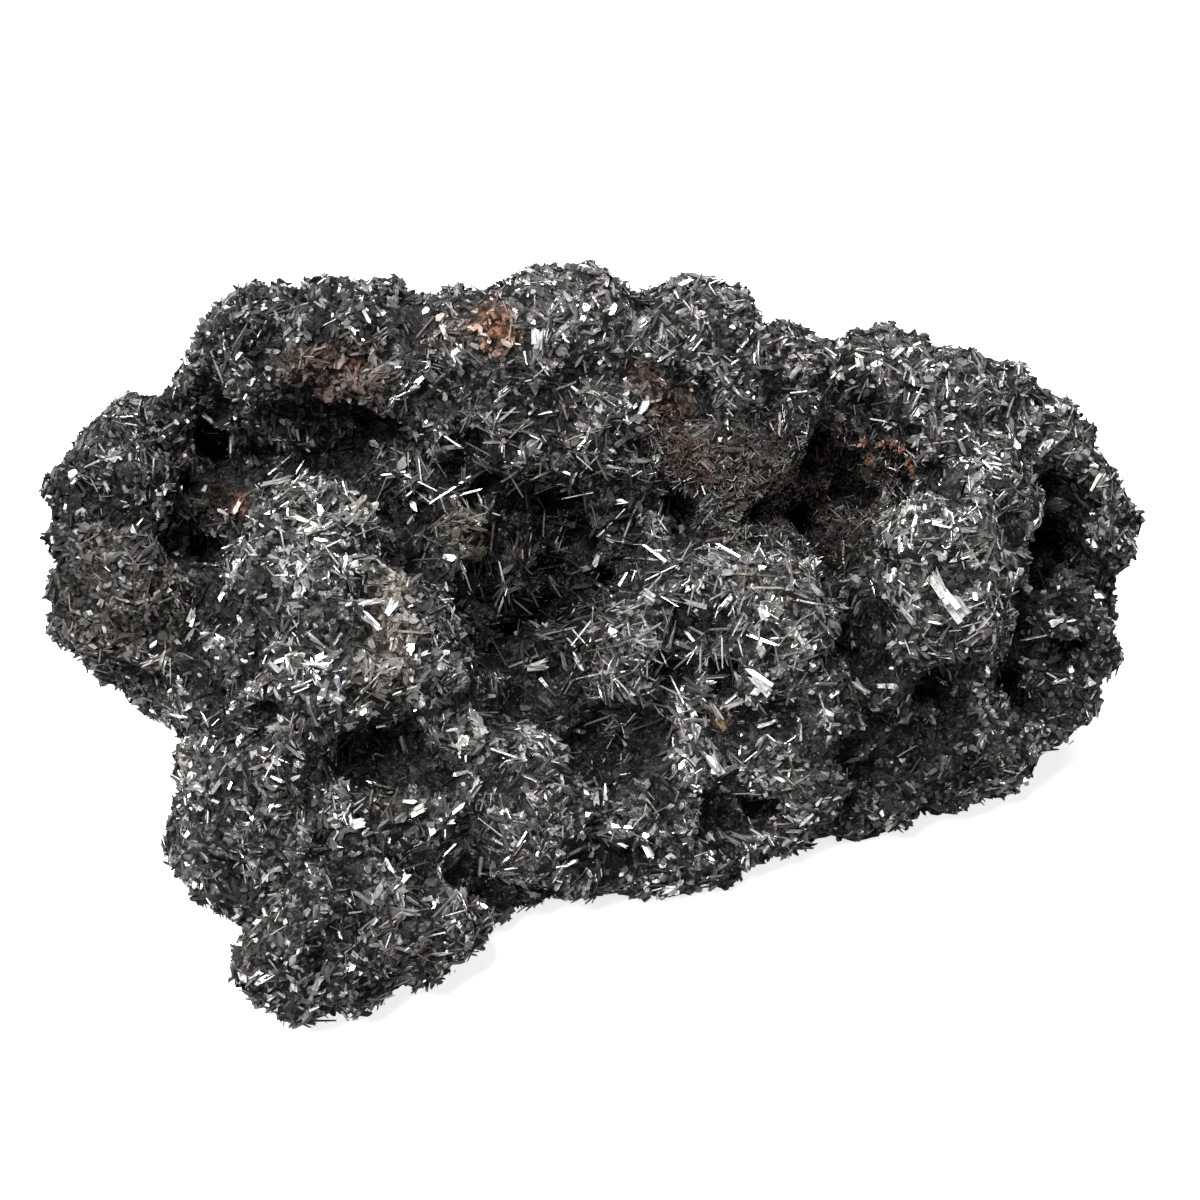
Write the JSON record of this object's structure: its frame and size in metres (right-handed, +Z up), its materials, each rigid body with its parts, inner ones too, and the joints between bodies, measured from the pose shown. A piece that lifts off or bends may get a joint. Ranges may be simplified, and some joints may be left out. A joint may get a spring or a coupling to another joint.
{
  "type": "manganese oxide specimen",
  "caption": "Natural hand specimen of dark manganese oxide: a lumpy, cavernous mass overgrown with small metallic blades and needles, with a crystal-lined hollow in its top.",
  "frame": {"origin": "middle of the flat broken underside, under the middle of the specimen's box", "axes": "+X along the specimen to its right end as pictured, +Y to its high back ridge, +Z up from the underside"},
  "size_m": [0.12, 0.0828, 0.0436],
  "materials": {
    "dark_oxide": "black to steel-grey, matt in the hollows and metallic on the crystal faces",
    "bright_crystal": "steel-grey crystal with a metallic lustre"
  },
  "bodies": {
    "root": {"oxide_mass": "dark_oxide", "hollow_crystal_crust": "bright_crystal"}
  },
  "joints": []
}
